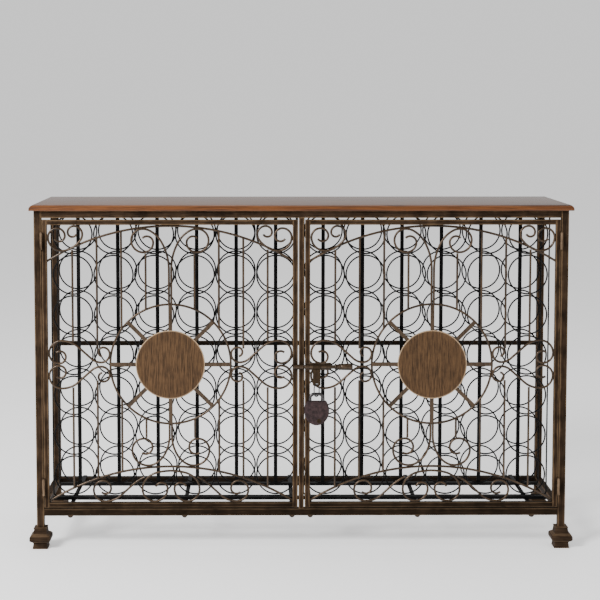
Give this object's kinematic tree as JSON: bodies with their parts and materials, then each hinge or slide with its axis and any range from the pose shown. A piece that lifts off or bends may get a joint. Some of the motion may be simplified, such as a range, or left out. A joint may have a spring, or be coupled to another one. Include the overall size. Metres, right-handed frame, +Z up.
{
  "type": "wine cabinet",
  "caption": "Free-standing iron wine cabinet with a wooden top, grille doors with scrollwork and medallions, a slide bolt with padlock, and wire ring racks for bottles.",
  "frame": {"origin": "On the floor, under the middle of the bounding box.", "axes": "+X to the right seen from the front, +Y from the doors to the back, +Z up."},
  "size_m": [1.4214, 0.3804, 0.9025],
  "materials": {
    "wood": "satin varnish over a red-brown stain",
    "bronze_iron": "dark bronze with rubbed golden-brown edges",
    "bronze_casting": "cast, dark bronze paint rubbed on its edges",
    "black_wire": "satin black",
    "brushed_bronze": "brushed antique bronze",
    "bright_steel": "polished",
    "padlock_case": "satin dark plum-brown",
    "brass": "dull"
  },
  "bodies": {
    "cabinet": {"wood_top": "wood", "front_left_post": "bronze_iron", "front_right_post": "bronze_iron", "back_left_post": "bronze_iron", "back_right_post": "bronze_iron", "front_left_foot": "bronze_casting", "front_right_foot": "bronze_casting", "back_left_foot": "bronze_casting", "back_right_foot": "bronze_casting", "front_top_rail": "bronze_iron", "back_top_rail": "bronze_iron", "left_top_rail": "bronze_iron", "right_top_rail": "bronze_iron", "front_bottom_rail": "bronze_iron", "back_bottom_rail": "bronze_iron", "left_bottom_rail": "bronze_iron", "right_bottom_rail": "bronze_iron", "back_mid_rail": "bronze_iron", "centre_mullion": "bronze_iron", "rack_base_bars": "black_wire", "rack_bearers": "black_wire", "bearer_bolts": "bronze_iron", "left_rack_front_rings": "black_wire", "left_rack_back_rings": "black_wire", "left_rack_frame": "black_wire", "right_rack_front_rings": "black_wire", "right_rack_back_rings": "black_wire", "right_rack_frame": "black_wire", "post_hinge_knuckles": "bronze_iron", "hinge_pins": "bronze_iron"},
    "left_door": {"left_door_hinge_stile": "bronze_iron", "left_door_meeting_stile": "bronze_iron", "left_door_top_rail": "bronze_iron", "left_door_bottom_rail": "bronze_iron", "left_door_grille_rods": "bronze_iron", "left_door_upper_scrolls": "bronze_iron", "left_door_side_scrolls": "bronze_iron", "left_door_lower_scrolls": "bronze_iron", "left_door_medallion_wheel": "bronze_iron", "left_door_medallion_disc": "brushed_bronze", "left_door_hinge_knuckles": "bronze_iron", "latch_keeper": "bronze_iron"},
    "right_door": {"right_door_hinge_stile": "bronze_iron", "right_door_meeting_stile": "bronze_iron", "right_door_top_rail": "bronze_iron", "right_door_bottom_rail": "bronze_iron", "right_door_grille_rods": "bronze_iron", "right_door_upper_scrolls": "bronze_iron", "right_door_side_scrolls": "bronze_iron", "right_door_lower_scrolls": "bronze_iron", "right_door_medallion_wheel": "bronze_iron", "right_door_medallion_disc": "brushed_bronze", "right_door_hinge_knuckles": "bronze_iron", "latch_guides": "bronze_iron"},
    "slide_bolt": {"latch_bolt": "bronze_iron", "hasp_tab": "brushed_bronze", "lock_ring": "bright_steel"},
    "shackle": {"padlock_shackle": "bright_steel"},
    "padlock": {"padlock_body": "padlock_case"},
    "key_plug": {"padlock_cylinder": "brass"}
  },
  "joints": [
    {"name": "left_door_hinge", "type": "hinge", "parent": "cabinet", "child": "left_door", "pos_m": [-0.67325, -0.1775, 0.4855], "axis": [0, 0, -1], "range_deg": [0, 120]},
    {"name": "right_door_hinge", "type": "hinge", "parent": "cabinet", "child": "right_door", "pos_m": [0.67325, -0.1775, 0.4855], "axis": [0, 0, 1], "range_deg": [0, 120]},
    {"name": "bolt_slide", "type": "slide", "parent": "right_door", "child": "slide_bolt", "axis": [1, 0, 0], "range_m": [-0.0085, 0.006]},
    {"name": "padlock_swing", "type": "hinge", "parent": "slide_bolt", "child": "shackle", "pos_m": [0.0395, -0.1815, 0.4097], "axis": [-1, 0, 0], "range_deg": [0, 70]},
    {"name": "padlock_release", "type": "slide", "parent": "shackle", "child": "padlock", "axis": [0, 0, -1], "range_m": [0, 0.012]},
    {"name": "key_turn", "type": "hinge", "parent": "padlock", "child": "key_plug", "pos_m": [0.0455, -0.1895, 0.3402], "axis": [0, 1, 0], "range_deg": [0, 90]}
  ]
}
